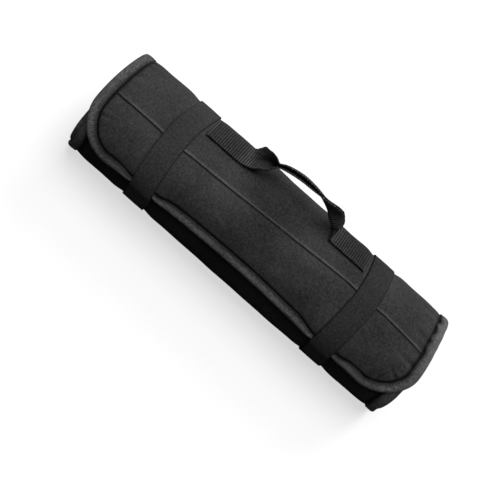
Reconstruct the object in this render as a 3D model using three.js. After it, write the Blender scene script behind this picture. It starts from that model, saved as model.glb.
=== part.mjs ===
// A knife roll: one padded cloth panel, wound up, held by two elastic bands and carried by a webbing handle.
// Millimetres, +Z up. X runs along the roll, -Y is the side where the flap ends, and the roll rests on z = 0.

import * as THREE from 'three';

// Driving dimensions of the roll as it lies
const rollLength = 470; // along X, over the binding
const rollDepth = 148; // along Y
const rollHeight = 97; // from the surface that it rests on
const squareness = 2.25; // power of the section's curve: 2 is an ellipse
const restPress = 6; // how deep the weight presses the round section flat
const restBlend = 5; // how softly the flat foot runs into the round

// The padded panel
const panelThickness = 5;
const panelEdgeThickness = 2;
const puffRun = 16; // from the binding to the full thickness
const turns = 2.15; // how often the panel goes round
const windingGap = 1.4; // between one turn and the next
const flapStart = 19; // degrees above the front, where the flap ends
const cornerRadius = 50; // of the flap's two outer corners, over the binding
const seamPlace = 68; // along the panel from the flap's end to the lapped seam
const seamGap = 0.3;
const seamThickness = 3.4;
const seamRun = 9;
const flapFade = 80; // how far up the flap the hang of its free end is felt
const duckFrom = 0.8; // share of a turn where the panel starts to duck under the turn outside it
const duckTo = 0.98;

// The edge tape
const bindingWidth = 12.5;
const tapeThickness = 1.1;
const sewingGap = 0.4;

// The elastic bands
const bandWidth = 30;
const bandThickness = 1.5;
const bandSpacing = 274; // between the middles of the two
const bandGap = 0.5;
const bandPress = 1.1; // how deep a band sinks into the padding
const bandShoulder = 34; // how far beside the band the padding is drawn in
const bandStep = 9; // length of the step from the flap down to the body

// The carry handle
const webbingWidth = 38;
const webbingThickness = 1.7;
const handlePlace = 121; // degrees from the front, over the top, to the middle of the sewn ends
const handleClear = 5.5; // from each sewn end to the nearer band
const handleLength = bandSpacing - bandWidth - 2 * handleClear; // along X, over both sewn ends
const handleShift = -1.5; // the handle's middle, along X
const handleRise = 23; // of the grip's crease over the panel
const creaseHalf = 2.6; // half of the rounded crease along the folded grip
const creaseBend = 86; // degrees that each half of the folded grip turns up
const handleGap = 0.4;

// How finely the cloth is faceted
const rowsInTurn = 30;
const handleRings = { flat: 4, free: 50 }; // along each sewn end, and along the rest
const handleColumns = [-1, -0.55, -0.14, -0.07, 0, 0.07, 0.14, 0.55, 1]; // shares of the webbing's half width
const puffShoulder = 0.22; // share of puffRun where a column follows the swelling
const middleColumn = 0.11; // share of bandSpacing where the two middle columns lie
const clearRows = 0.6; // least rows between the seam's rows and the next even one

// The lapped seam isn't quite straight: where it lies, as shares of the panel's half width and of seamPlace
const seamTable = [
  { across: -1, shift: 0.0 },
  { across: -0.5, shift: 0.0 },
  { across: 0, shift: 0.09 },
  { across: 0.55, shift: 0.19 },
  { across: 1, shift: 0.09 },
];

// How far the flap's free end hangs lower than straight, as shares of the half width and of bindingWidth
const hangTable = [
  { across: -1, drop: 0.1 },
  { across: -0.82, drop: 0.3 },
  { across: -0.66, drop: 0.05 },
  { across: -0.5, drop: 0.0 },
  { across: -0.25, drop: -0.26 },
  { across: 0.1, drop: -0.34 },
  { across: 0.5, drop: 0.0 },
  { across: 0.66, drop: 0.0 },
  { across: 0.82, drop: 0.14 },
  { across: 1, drop: -0.1 },
];

// The handle from its left end to its right one. Shares: place of half the length, rise of handleRise, fold from
// flat 0 to doubled lengthwise 1. turn is how many degrees the folded webbing leans forward off the panel.
const handleTable = [
  { place: -1.0, rise: 0.0, fold: 0.0, turn: 0 },
  { place: -0.67, rise: 0.0, fold: 0.0, turn: 0 },
  { place: -0.6, rise: 0.03, fold: 0.03, turn: 4 },
  { place: -0.535, rise: 0.1, fold: 0.1, turn: 14 },
  { place: -0.47, rise: 0.22, fold: 0.25, turn: 35 },
  { place: -0.405, rise: 0.39, fold: 0.46, turn: 52 },
  { place: -0.345, rise: 0.55, fold: 0.7, turn: 57 },
  { place: -0.29, rise: 0.68, fold: 0.96, turn: 54 },
  { place: -0.2, rise: 0.82, fold: 1.0, turn: 50 },
  { place: -0.04, rise: 0.93, fold: 1.0, turn: 48 },
  { place: 0.1, rise: 0.97, fold: 1.0, turn: 49 },
  { place: 0.2, rise: 0.96, fold: 1.0, turn: 49 },
  { place: 0.27, rise: 0.92, fold: 1.0, turn: 42 },
  { place: 0.33, rise: 0.76, fold: 1.0, turn: 16 },
  { place: 0.38, rise: 0.53, fold: 0.98, turn: -12 },
  { place: 0.43, rise: 0.3, fold: 0.88, turn: -20 },
  { place: 0.49, rise: 0.1, fold: 0.52, turn: -14 },
  { place: 0.55, rise: 0.01, fold: 0.13, turn: -3 },
  { place: 0.61, rise: 0.0, fold: 0.0, turn: 0 },
  { place: 1.0, rise: 0.0, fold: 0.0, turn: 0 },
];

// Sizes that follow
const layerPitch = panelThickness + windingGap;
const halfLength = rollLength / 2;
const panelInset = tapeThickness + sewingGap; // from the tape's fold to the panel's own edge
const thinDepth = bindingWidth + 2 * sewingGap; // how deep inside the bound edge the padding starts to swell

function smooth(from, to, value) {
  const t = Math.min(Math.max((value - from) / (to - from), 0), 1);
  return t * t * (3 - 2 * t);
}

// Reads a table's named column between its rows, on a curve that passes through every row
function tableValue(table, key, column, at) {
  let i = 0;
  while (i < table.length - 2 && at > table[i + 1][key]) i += 1;
  const slope = (row) => {
    const before = table[Math.max(row - 1, 0)];
    const after = table[Math.min(row + 1, table.length - 1)];
    return (after[column] - before[column]) / (after[key] - before[key]);
  };
  const span = table[i + 1][key] - table[i][key];
  const t = Math.min(Math.max((at - table[i][key]) / span, 0), 1);
  const rise = table[i + 1][column] - table[i][column];
  const bow = (slope(i) * span - rise) * (1 - t) - (slope(i + 1) * span - rise) * t;
  return table[i][column] + rise * t + bow * t * (1 - t);
}

// The roll's outer section: a squarish oval whose foot the weight presses flat. It starts at the flap's end,
// and goes up over the top, down the back and under the roll to the front again.
function makeOutline() {
  const samples = 1440;
  const halfDepth = rollDepth / 2;
  const halfHeight = (rollHeight + restPress) / 2;
  const points = [];
  for (let i = 0; i <= samples; i += 1) {
    const angle = THREE.MathUtils.degToRad(flapStart) + (i / samples) * Math.PI * 2;
    const c = Math.cos(angle);
    const s = Math.sin(angle);
    const y = -halfDepth * Math.sign(c) * Math.abs(c) ** (2 / squareness);
    const round = halfHeight * (1 + Math.sign(s) * Math.abs(s) ** (2 / squareness)) - restPress;
    const pressed = (round + restBlend) ** 2 / (4 * restBlend);
    const z = round < -restBlend ? 0 : round < restBlend ? pressed : round;
    points.push(new THREE.Vector2(y, z));
  }
  const lengths = [0];
  for (let i = 1; i <= samples; i += 1) lengths.push(lengths[i - 1] + points[i].distanceTo(points[i - 1]));
  return { points, lengths, perimeter: lengths[samples] };
}

const outline = makeOutline();
const { perimeter } = outline;
const rowStep = perimeter / rowsInTurn;
const panelEnd = turns * perimeter;

function outlinePoint(distance) {
  const d = ((distance % perimeter) + perimeter) % perimeter;
  let low = 0;
  let high = outline.lengths.length - 1;
  while (high - low > 1) {
    const middle = (low + high) >> 1;
    if (outline.lengths[middle] <= d) low = middle;
    else high = middle;
  }
  const t = (d - outline.lengths[low]) / (outline.lengths[high] - outline.lengths[low]);
  return outline.points[low].clone().lerp(outline.points[high], t);
}

// The section's point and outward normal at a distance from the flap's end
function outlineFrame(distance) {
  const reach = rowStep / 4;
  const along = outlinePoint(distance + reach).sub(outlinePoint(distance - reach)).normalize();
  return { point: outlinePoint(distance), normal: new THREE.Vector2(-along.y, along.x) };
}

// The distance along the outline of a direction, in degrees from the front over the top
function outlineDistance(degrees) {
  const share = (degrees - flapStart) / 360;
  return outline.lengths[Math.round(share * (outline.lengths.length - 1))];
}

// How many layers lie outside the panel: each turn ducks under the flap at the front
function layersOver(distance) {
  const turn = distance / perimeter;
  if (turn < 0) return 0;
  return Math.floor(turn) + smooth(duckFrom, duckTo, turn - Math.floor(turn));
}

// How deep the bands lie in the padding: under the roll its weight sinks them flush
function bandDepth(normal) {
  const flush = bandGap + bandThickness;
  return bandPress + (flush - bandPress) * smooth(-0.75, -0.98, normal.y);
}

// How much of that the padding at x is drawn in
function bandPull(x) {
  const beside = Math.abs(Math.abs(x) - bandSpacing / 2) - bandWidth / 2 - bandGap;
  return 1 - smooth(0, bandShoulder, beside);
}

// A point of the panel: its distance from the flap's end, its place across, and how far it lies outside the
// panel's middle
function panelPoint(distance, x, outside) {
  const drop = bindingWidth * tableValue(hangTable, 'across', 'drop', x / halfLength);
  const there = distance - drop * (1 - smooth(0, flapFade, distance));
  const { point, normal } = outlineFrame(there);
  const inset = panelThickness / 2 + layerPitch * layersOver(there) + bandDepth(normal) * bandPull(x) - outside;
  return new THREE.Vector3(x, point.x - normal.x * inset, point.y - normal.y * inset);
}

function seamAt(x) {
  return seamPlace * (1 + tableValue(seamTable, 'across', 'shift', x / halfLength));
}

function puffed(thin, run, inside) {
  const t = 1 - Math.min(Math.max(inside / run, 0), 1);
  return thin + (panelThickness - thin) * Math.sqrt(1 - t * t);
}

// The padding is thin under the tape and at the seam, and swells beside them
function paddingAt(fromEdge, fromSeam) {
  const byTape = puffed(panelEdgeThickness, puffRun, fromEdge - thinDepth);
  return Math.min(byTape, puffed(seamThickness, seamRun, fromSeam));
}

// A closed mesh from rings of points, each ring going the same way round. Its two ends are closed by the
// triangles given for one ring, or else the rings go round in a loop.
function loftedMesh(rings, looped, endTriangles) {
  const size = rings[0].length;
  const index = [];
  const steps = looped ? rings.length : rings.length - 1;
  for (let i = 0; i < steps; i += 1) {
    const next = (i + 1) % rings.length;
    for (let j = 0; j < size; j += 1) {
      const k = (j + 1) % size;
      const [a, b, c, d] = [i * size + j, i * size + k, next * size + k, next * size + j];
      index.push(a, b, c, a, c, d);
    }
  }
  if (!looped) {
    const last = (rings.length - 1) * size;
    for (const [a, b, c] of endTriangles) index.push(c, b, a, last + a, last + b, last + c);
  }
  const geometry = new THREE.BufferGeometry();
  const positions = rings.flat().flatMap((point) => [point.x, point.y, point.z]);
  geometry.setAttribute('position', new THREE.Float32BufferAttribute(positions, 3));
  geometry.setIndex(index);
  geometry.computeVertexNormals();
  return geometry;
}

// The triangles that close a ring that runs across one face of a strip and back along the other
function stripEnd(size) {
  const triangles = [];
  for (let low = 0, high = size - 1; high - low > 1; low += 1, high -= 1) {
    triangles.push([low, low + 1, high]);
    if (high - low > 2) triangles.push([low + 1, high - 1, high]);
  }
  return triangles;
}

// How deep inside the bound edge the panel's first columns and rows lie
const columnDepths = [panelInset, thinDepth, thinDepth + puffRun * puffShoulder, thinDepth + puffRun, cornerRadius];
const rowDepths = [panelInset, bindingWidth / 2, ...columnDepths.slice(1)];

// The panel's columns: beside the tape, at the bands' sides and between
function columnPlaces() {
  const beside = bandWidth / 2 + bandGap;
  const right = [
    ...columnDepths.map((depth) => halfLength - depth),
    bandSpacing / 2 + beside,
    bandSpacing / 2 - beside,
    bandSpacing / 2 - beside - bandShoulder,
    bandSpacing * middleColumn,
  ];
  return [...right.map((x) => -x), ...right.slice().reverse()];
}

// Rounds the flap's corners: rows and columns stay at their own depth inside the bound edge
function roundedPlace(distance, x) {
  const side = Math.sign(x);
  const fromSide = halfLength - Math.abs(x);
  if (Math.max(distance, fromSide) >= cornerRadius) return { distance, x };
  const quarter = Math.PI / 4;
  if (distance <= fromSide) {
    const radius = cornerRadius - distance;
    const angle = (quarter * (cornerRadius - fromSide)) / radius;
    return {
      distance: cornerRadius - radius * Math.cos(angle),
      x: side * (halfLength - cornerRadius + radius * Math.sin(angle)),
    };
  }
  const radius = cornerRadius - fromSide;
  const angle = (quarter * (cornerRadius - distance)) / radius;
  return {
    distance: cornerRadius - radius * Math.sin(angle),
    x: side * (halfLength - cornerRadius + radius * Math.cos(angle)),
  };
}

// The rows of the flap and of the rest of the panel. A row's slant says how much it follows the seam.
function panelRows() {
  const flap = rowDepths.map((distance) => ({ distance, slant: 0 }));
  const valley = seamRun / 2;
  const lower = seamPlace - seamGap / 2;
  const between = lower - valley - cornerRadius;
  const steps = Math.max(Math.ceil(between / rowStep), 1);
  for (let i = 1; i <= steps; i += 1) flap.push({ distance: cornerRadius + (i / steps) * between, slant: i / steps });
  flap.push({ distance: lower, slant: 1 });
  const upper = seamPlace + seamGap / 2;
  const rest = [
    { distance: upper, slant: 1 },
    { distance: upper + valley, slant: 1 },
  ];
  const lastFull = panelEnd - thinDepth - puffRun;
  for (let i = Math.ceil((upper + valley) / rowStep + clearRows); i * rowStep < lastFull; i += 1) {
    rest.push({ distance: i * rowStep, slant: 1 - smooth(upper + valley, upper + rowStep * 4, i * rowStep) });
  }
  for (const depth of [thinDepth, panelInset]) rest.push({ distance: panelEnd - depth, slant: 0 });
  return { flap, rest };
}

function slanted(row, x) {
  return row.distance + row.slant * (seamAt(x) - seamPlace);
}

// A stretch of the panel, one ring for each row: its outer face across, then its inner face back
function paddedStretch(rows) {
  const columns = columnPlaces();
  const rings = rows.map((row) => {
    const face = (side) =>
      columns.map((x) => {
        const distance = slanted(row, x);
        const fromEdge = Math.min(distance, halfLength - Math.abs(x), panelEnd - distance);
        const thickness = paddingAt(fromEdge, Math.abs(distance - seamAt(x)));
        const place = roundedPlace(distance, x);
        return panelPoint(place.distance, place.x, (side * thickness) / 2);
      });
    return [...face(1), ...face(-1).reverse()];
  });
  return loftedMesh(rings, false, stripEnd(rings[0].length));
}

// The tape's section, folded over the panel's edge: how far inside the fold, and how far outside the middle.
// Where the tape itself bends with the roll, its legs have a middle point.
function tapeSection(bent) {
  const channel = panelEdgeThickness / 2 + sewingGap;
  const outer = channel + tapeThickness;
  const legs = bent ? [bindingWidth, bindingWidth / 2] : [bindingWidth];
  const leg = (outside) => legs.map((inside) => new THREE.Vector2(inside, outside));
  const upper = [...leg(outer), new THREE.Vector2(tapeThickness / 2, outer), new THREE.Vector2(0, outer / 2)];
  const hollow = [...leg(channel), new THREE.Vector2(tapeThickness, channel)];
  const mirrored = (points) => points.map((point) => new THREE.Vector2(point.x, -point.y));
  return [...upper, ...mirrored(upper).reverse(), ...mirrored(hollow), ...hollow.slice().reverse()];
}

// A tape sewn along places of the panel's edge
function tapeAlong(places, bent) {
  const section = tapeSection(bent);
  const rings = places.map(({ distance, x, inward }) =>
    section.map((point) => panelPoint(distance + inward.x * point.x, x + inward.y * point.x, point.y)),
  );
  return loftedMesh(rings, false, THREE.ShapeUtils.triangulateShape(section, []));
}

function tapeAlongSide(side) {
  const x = side * halfLength;
  const { flap, rest } = panelRows();
  const inFlap = flap.filter((row) => row.distance > cornerRadius + rowStep / 4);
  const inRest = rest.filter((row) => row.distance > seamPlace + seamGap && row.distance < panelEnd - bindingWidth);
  const rows = [...inFlap, ...inRest].filter((row) => Math.abs(row.distance - seamPlace) > seamGap);
  const distances = rows.map((row) => slanted(row, x));
  distances.unshift(cornerRadius + sewingGap);
  distances.push(panelEnd - bindingWidth - sewingGap);
  const inward = new THREE.Vector2(0, -side);
  const places = distances.map((distance) => ({ distance, x, inward }));
  return tapeAlong(side < 0 ? places.reverse() : places, false);
}

// The tape round the flap's free end, from one rounded corner to the other
function tapeAcrossFlap() {
  const middle = halfLength - cornerRadius;
  const corner = (side, angle) => ({
    distance: cornerRadius - cornerRadius * Math.cos(angle),
    x: side * (middle + cornerRadius * Math.sin(angle)),
    inward: new THREE.Vector2(Math.cos(angle), -side * Math.sin(angle)),
  });
  const turnedBy = (depth) => ((cornerRadius - depth) / (cornerRadius - panelInset)) * (Math.PI / 4);
  const frontAngles = columnDepths.map(turnedBy).reverse();
  const sideAngles = rowDepths.slice(1).map((depth) => Math.PI / 2 - turnedBy(depth));
  const angles = [...frontAngles, ...sideAngles];
  const straight = columnPlaces().filter((x) => Math.abs(x) < middle - sewingGap);
  const places = [
    ...angles.slice().reverse().map((angle) => corner(-1, angle)),
    ...straight.map((x) => ({ distance: 0, x, inward: new THREE.Vector2(1, 0) })),
    ...angles.map((angle) => corner(1, angle)),
  ];
  return tapeAlong(places, true);
}

// The tape on the panel's inner end, deep in the roll
function tapeAcrossInside() {
  const inward = new THREE.Vector2(-1, 0);
  const columns = columnPlaces();
  const ends = [-halfLength, ...columns.slice(1, -1), halfLength];
  return tapeAlong(ends.map((x) => ({ distance: panelEnd, x, inward })).reverse(), true);
}

// A band goes once round the roll and steps down off the flap's end onto the body
function elasticBand(x) {
  const distances = [];
  for (let i = 1; i < rowsInTurn * 2; i += 1) distances.push((i * rowStep) / 2);
  distances.unshift(0);
  const landing = perimeter - bandGap * 2;
  const step = distances.filter((d) => d < landing - bandStep - rowStep / 4);
  step.push(landing - bandStep, landing - bandStep * 0.5, landing);
  const rings = step.map((distance) => {
    const { point, normal } = outlineFrame(distance);
    const under = layerPitch * layersOver(distance);
    const onStep = smooth(landing - bandStep, landing, distance);
    const base = bandGap - bandDepth(normal) - under * (1 - onStep);
    const corner = (across, height) =>
      new THREE.Vector3(
        x + across * (bandWidth / 2),
        point.x + normal.x * (base + height),
        point.y + normal.y * (base + height),
      );
    return [corner(-1, 0), corner(1, 0), corner(1, bandThickness), corner(-1, bandThickness)];
  });
  return loftedMesh(rings.reverse(), true);
}

// The webbing's section: flat, or folded lengthwise about a rounded crease with both edges up
function foldedWebbing(across, fold) {
  const bend = Math.max(fold * THREE.MathUtils.degToRad(creaseBend), 1e-3);
  const radius = creaseHalf / bend;
  const side = Math.sign(across);
  const width = Math.abs(across);
  const inCrease = Math.min(width, creaseHalf);
  const angle = (bend * inCrease) / creaseHalf;
  const straight = width - inCrease;
  return {
    sideways: side * (radius * Math.sin(angle) + straight * Math.cos(angle)),
    up: radius * (1 - Math.cos(angle)) + straight * Math.sin(angle),
    normal: new THREE.Vector2(-side * Math.sin(angle), Math.cos(angle)),
  };
}

// Where the handle's rings lie, as shares of half its length: the table's second row and the last but one are
// where its flat ends stop
function handlePlaces() {
  const left = handleTable[1].place;
  const right = handleTable[handleTable.length - 2].place;
  const places = [];
  for (let i = 0; i < handleRings.flat; i += 1) places.push(-1 + ((left + 1) * i) / handleRings.flat);
  for (let i = 0; i < handleRings.free; i += 1) places.push(left + ((right - left) * i) / handleRings.free);
  for (let i = 0; i <= handleRings.flat; i += 1) places.push(right + ((1 - right) * i) / handleRings.flat);
  return places;
}

function carryHandle() {
  const seat = outlineDistance(handlePlace);
  const { normal } = outlineFrame(seat);
  const up = new THREE.Vector3(0, normal.x, normal.y);
  const back = new THREE.Vector3(0, normal.y, -normal.x);
  const half = handleLength / 2;
  const column = (name, place) => tableValue(handleTable, 'place', name, place);
  const centre = (place) =>
    panelPoint(seat, handleShift + place * half, panelThickness / 2 + handleGap)
      .addScaledVector(up, column('rise', place) * handleRise);
  const rings = [];
  const small = 0.02;
  for (const place of handlePlaces()) {
    const along = centre(Math.min(place + small, 1)).sub(centre(Math.max(place - small, -1))).normalize();
    const turn = THREE.MathUtils.degToRad(column('turn', place));
    const wide = back.clone().applyAxisAngle(along, turn);
    const high = wide.clone().cross(along).negate();
    const lifted = smooth(0, 0.12, column('rise', place));
    const face = (height) =>
      handleColumns.map((share) => {
        const across = (share * webbingWidth) / 2;
        const flat = panelPoint(seat + across, handleShift + place * half, panelThickness / 2 + handleGap + height);
        const shape = foldedWebbing(across, column('fold', place));
        const free = centre(place)
          .addScaledVector(wide, shape.sideways + shape.normal.x * height)
          .addScaledVector(high, shape.up + shape.normal.y * height);
        return flat.lerp(free, lifted);
      });
    rings.push([...face(0), ...face(webbingThickness).reverse()]);
  }
  return loftedMesh(rings, false, stripEnd(rings[0].length));
}

const flapCloth = { color: 0x3a3b3e, roughness: 0.9, metalness: 0 };
const bodyCloth = { color: 0x37383b, roughness: 0.9, metalness: 0 };
const bindingTape = { color: 0x45464a, roughness: 0.85, metalness: 0 };
const elastic = { color: 0x343538, roughness: 0.8, metalness: 0 };
const webbing = { color: 0x2b2c2e, roughness: 0.75, metalness: 0 };

const roll = new THREE.Group();

function addPiece(name, geometry, finish) {
  const piece = new THREE.Mesh(geometry, new THREE.MeshStandardMaterial(finish));
  piece.name = name;
  roll.add(piece);
}

const { flap, rest } = panelRows();
addPiece('roll_panel', paddedStretch(rest), bodyCloth);
addPiece('flap_panel', paddedStretch(flap), flapCloth);
addPiece('binding_left', tapeAlongSide(-1), bindingTape);
addPiece('binding_right', tapeAlongSide(1), bindingTape);
addPiece('binding_flap', tapeAcrossFlap(), bindingTape);
addPiece('binding_inner', tapeAcrossInside(), bindingTape);
addPiece('band_left', elasticBand(-bandSpacing / 2), elastic);
addPiece('band_right', elasticBand(bandSpacing / 2), elastic);
addPiece('carry_handle', carryHandle(), webbing);

// The origin lies under the middle of the roll, on the surface that it rests on
const box = new THREE.Box3().setFromObject(roll);
const middle = box.getCenter(new THREE.Vector3());
roll.position.set(-middle.x, -middle.y, -box.min.z);

export default roll;
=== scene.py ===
# %% [markdown]
# A padded knife roll, rolled up and lying on a pale floor.
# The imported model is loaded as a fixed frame: it says where every piece is and how large it is.
# This script dresses it. Each soft piece is cut flat as a grid, as a maker cuts cloth, and is then wound
# onto the roll, so that the weave follows the cloth.

# %% Load the frame
from math import cos, radians, sin

import bpy
import numpy as np
from mathutils import Matrix, Vector


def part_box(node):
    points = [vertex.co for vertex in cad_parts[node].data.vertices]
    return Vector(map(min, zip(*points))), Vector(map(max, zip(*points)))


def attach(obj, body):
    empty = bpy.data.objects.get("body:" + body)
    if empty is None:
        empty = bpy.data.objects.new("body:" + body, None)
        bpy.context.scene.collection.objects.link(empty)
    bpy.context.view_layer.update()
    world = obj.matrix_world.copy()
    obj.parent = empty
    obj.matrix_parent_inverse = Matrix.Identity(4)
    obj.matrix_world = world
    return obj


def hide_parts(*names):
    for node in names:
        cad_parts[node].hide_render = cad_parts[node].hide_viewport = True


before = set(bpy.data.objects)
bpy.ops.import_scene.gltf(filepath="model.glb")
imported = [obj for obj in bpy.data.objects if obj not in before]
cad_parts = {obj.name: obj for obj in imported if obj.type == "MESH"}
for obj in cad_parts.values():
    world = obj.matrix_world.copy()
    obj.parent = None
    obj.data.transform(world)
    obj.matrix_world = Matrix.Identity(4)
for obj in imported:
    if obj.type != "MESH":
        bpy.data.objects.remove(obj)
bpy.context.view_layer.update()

MM = 0.001
print("the frame holds", sorted(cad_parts))

# %% [markdown]
# Seen from its end, the roll is a squarish oval with a flat foot, where its weight rests on the floor. Every
# piece lies on that outline, so it comes first. It could be drawn by hand as a Bezier curve. A formula is
# used because the cloth, the tape and the bands all have to ask it for points and directions.

# %% Sizes of the roll
ROLL_LENGTH = 470 * MM
ROLL_DEPTH = 148 * MM
ROLL_HEIGHT = 97 * MM
SQUARENESS = 2.25
REST_PRESS = 6 * MM
REST_BLEND = 5 * MM
FLAP_START = 19  # degrees above the front, where the flap ends
TURNS = 2.15

PANEL_THICKNESS = 5 * MM
EDGE_THICKNESS = 2 * MM
PUFF_RUN = 16 * MM
WINDING_GAP = 1.4 * MM
CORNER_RADIUS = 50 * MM
SEAM_PLACE = 68 * MM
BINDING_WIDTH = 12.5 * MM
TAPE_THICKNESS = 1.1 * MM
SEWING_GAP = 0.4 * MM

BAND_WIDTH = 30 * MM
BAND_THICKNESS = 1.5 * MM
BAND_SPACING = 274 * MM
BAND_GAP = 0.5 * MM
BAND_PRESS = 1.1 * MM
BAND_SHOULDER = 12 * MM
BAND_STEP = 15 * MM
FLOOR_GAP = 0.1 * MM

HALF_LENGTH = ROLL_LENGTH / 2
LAYER_PITCH = PANEL_THICKNESS + WINDING_GAP
PANEL_INSET = TAPE_THICKNESS + SEWING_GAP
THIN_DEPTH = BINDING_WIDTH + 2 * SEWING_GAP

# %% Soft steps and curves through a few rows
def smooth(start, end, value):
    t = np.clip((value - start) / (end - start), 0, 1)
    return t * t * (3 - 2 * t)


def through(places, values, at):
    """A smooth curve through a short table's rows."""
    places, values = np.asarray(places, float), np.asarray(values, float)
    slopes = np.empty(len(places))
    slopes[1:-1] = (values[2:] - values[:-2]) / (places[2:] - places[:-2])
    slopes[0] = (values[1] - values[0]) / (places[1] - places[0])
    slopes[-1] = (values[-1] - values[-2]) / (places[-1] - places[-2])
    row = np.clip(np.searchsorted(places, at, side="right") - 1, 0, len(places) - 2)
    span = places[row + 1] - places[row]
    t = np.clip((at - places[row]) / span, 0, 1)
    rise = values[row + 1] - values[row]
    bow = (slopes[row] * span - rise) * (1 - t) - (slopes[row + 1] * span - rise) * t
    return values[row] + rise * t + bow * t * (1 - t)

# %% The section's outline, measured along its length
def make_outline(samples=1440):
    turn = np.radians(FLAP_START) + np.linspace(0, 2 * np.pi, samples + 1)
    c, s = np.cos(turn), np.sin(turn)
    y = -ROLL_DEPTH / 2 * np.sign(c) * np.abs(c) ** (2 / SQUARENESS)
    half_height = (ROLL_HEIGHT + REST_PRESS) / 2
    z = half_height * (1 + np.sign(s) * np.abs(s) ** (2 / SQUARENESS)) - REST_PRESS
    pressed = (z + REST_BLEND) ** 2 / (4 * REST_BLEND)
    z = np.where(z < -REST_BLEND, 0, np.where(z < REST_BLEND, pressed, z))
    lengths = np.concatenate([[0], np.cumsum(np.hypot(np.diff(y), np.diff(z)))])
    return y, z, lengths


outline_y, outline_z, outline_lengths = make_outline()
PERIMETER = outline_lengths[-1]
PANEL_END = TURNS * PERIMETER
BAND_PROUD = BAND_GAP + BAND_THICKNESS - BAND_PRESS
SHIFT_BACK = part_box("band_left")[1].y - (ROLL_DEPTH / 2 + BAND_PROUD)
print(f"once round the roll is {PERIMETER * 1000:.0f} mm, the panel is {PANEL_END * 1000:.0f} mm long")


def outline_at(distance):
    d = np.mod(distance, PERIMETER)
    y = np.interp(d, outline_lengths, outline_y) + SHIFT_BACK
    return y, np.interp(d, outline_lengths, outline_z)


def outline_frame(distance, reach=3.4 * MM):
    y0, z0 = outline_at(distance - reach)
    y1, z1 = outline_at(distance + reach)
    length = np.hypot(y1 - y0, z1 - z0)
    y, z = outline_at(distance)
    return y, z, -(z1 - z0) / length, (y1 - y0) / length

# %% [markdown]
# The panel is taken to be one long padded rectangle, wound a little more than twice round. Its inside isn't
# seen. It could be modelled flat and rolled up by a cloth simulation, but that is slow, and its turns would
# have to be kept out of each other. Here one function winds any flat place onto the roll. Each turn ducks
# under the flap at the front, the bands draw the padding in, and the flap's free end hangs a little lower
# near its corners.

# %% Winding a flat place onto the roll
HANG_ACROSS = [-1, -0.82, -0.66, -0.5, -0.25, 0.1, 0.5, 0.66, 0.82, 1]
HANG_DROP = [0.15, 0.5, 0.2, 0.0, -0.26, -0.34, 0.0, 0.0, 0.14, -0.1]
SEAM_ACROSS = [-1, -0.5, 0, 0.55, 1]
SEAM_SHIFT = [0.0, 0.0, 0.09, 0.19, 0.09]
FLAP_FADE = 80 * MM
BAND_ALONG = [v * MM for v in (0, 28, 45, 68, 95, 140, 200, 300, 345, 380, PERIMETER / MM)]
LEFT_BAND_SHIFT = [v * MM for v in (4.5, 0, -2, -4, -4.5, 0, 0, 0, 2, 5, 4.5)]
RIGHT_BAND_SHIFT = [v * MM for v in (-5, -3.5, -2.5, -0.8, -1.2, -4.5, -3, -2, -1.5, -2, -5)]
TUCK_LEFT = 7 * MM
TUCK_RIGHT = 4.5 * MM
LEFT_BULGES = [(3 * MM, 75 * MM, 50 * MM)]  # each with its height, its place and its reach
RIGHT_BULGES = [(3 * MM, 48 * MM, 35 * MM), (-1.5 * MM, 125 * MM, 30 * MM)]
DUCK_FROM = 0.8  # share of a turn where the panel starts to duck under the turn outside it
DUCK_TO = 0.98


def layers_over(distance):
    """How many turns lie outside this place."""
    turn = distance / PERIMETER
    whole = np.floor(turn)
    return np.where(turn < 0, 0, whole + smooth(DUCK_FROM, DUCK_TO, turn - whole))


def band_depth(normal_z):
    """How deep a band presses the padding in: deepest underneath, where it may not stand proud."""
    flush = BAND_GAP + BAND_THICKNESS
    return BAND_PRESS + (flush - BAND_PRESS) * smooth(0.75, 0.98, -normal_z)


def band_middle(distance, side):
    """Where a band's middle lies: it wanders a little on its way round."""
    at = np.mod(distance, PERIMETER)
    left = through(BAND_ALONG, LEFT_BAND_SHIFT, at) - BAND_SPACING / 2
    right = through(BAND_ALONG, RIGHT_BAND_SHIFT, at) + BAND_SPACING / 2
    return np.where(side < 0, left, right)


def beside_band(x, distance):
    """How far outside the nearest band's edge a place lies."""
    return np.abs(x - band_middle(distance, x)) - BAND_WIDTH / 2 - BAND_GAP


def near(value, run):
    """1 at zero, fading away on both sides within about the run."""
    return np.exp(-((value / run) ** 2))


def tucked(distance, x):
    """The ends aren't quite straight: the flap's sides bulge, and the cloth under its corners is drawn in."""
    turn = distance / PERIMETER
    under = smooth(0.84, 0.95, turn) * (1 - smooth(1.02, 1.2, turn))
    left = sum(height * near(distance - place, reach) for height, place, reach in LEFT_BULGES)
    right = sum(height * near(distance - place, reach) for height, place, reach in RIGHT_BULGES)
    amount = np.where(x < 0, left - TUCK_LEFT * under, right - TUCK_RIGHT * under)
    return x + np.sign(x) * amount * smooth(0.7, 1, np.abs(x) / HALF_LENGTH)


def rolled(distance, x, outside):
    """The point of a flat place on the wound panel, lying outside the panel's middle by some height."""
    distance, x, outside = np.broadcast_arrays(*(np.asarray(v, float) for v in (distance, x, outside)))
    drop = BINDING_WIDTH * through(HANG_ACROSS, HANG_DROP, x / HALF_LENGTH)
    there = distance - drop * (1 - smooth(0, FLAP_FADE, distance))
    y, z, ny, nz = outline_frame(there)
    pull = 1 - smooth(0, BAND_SHOULDER, beside_band(x, there))
    inset = PANEL_THICKNESS / 2 + LAYER_PITCH * layers_over(there) + band_depth(nz) * pull - outside
    return np.stack([tucked(there, x), y - ny * inset, z - nz * inset], axis=-1)


def seam_at(x):
    """How far from the flap's end the lapped seam lies: it isn't quite straight."""
    return SEAM_PLACE * (1 + through(SEAM_ACROSS, SEAM_SHIFT, x / HALF_LENGTH))


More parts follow.
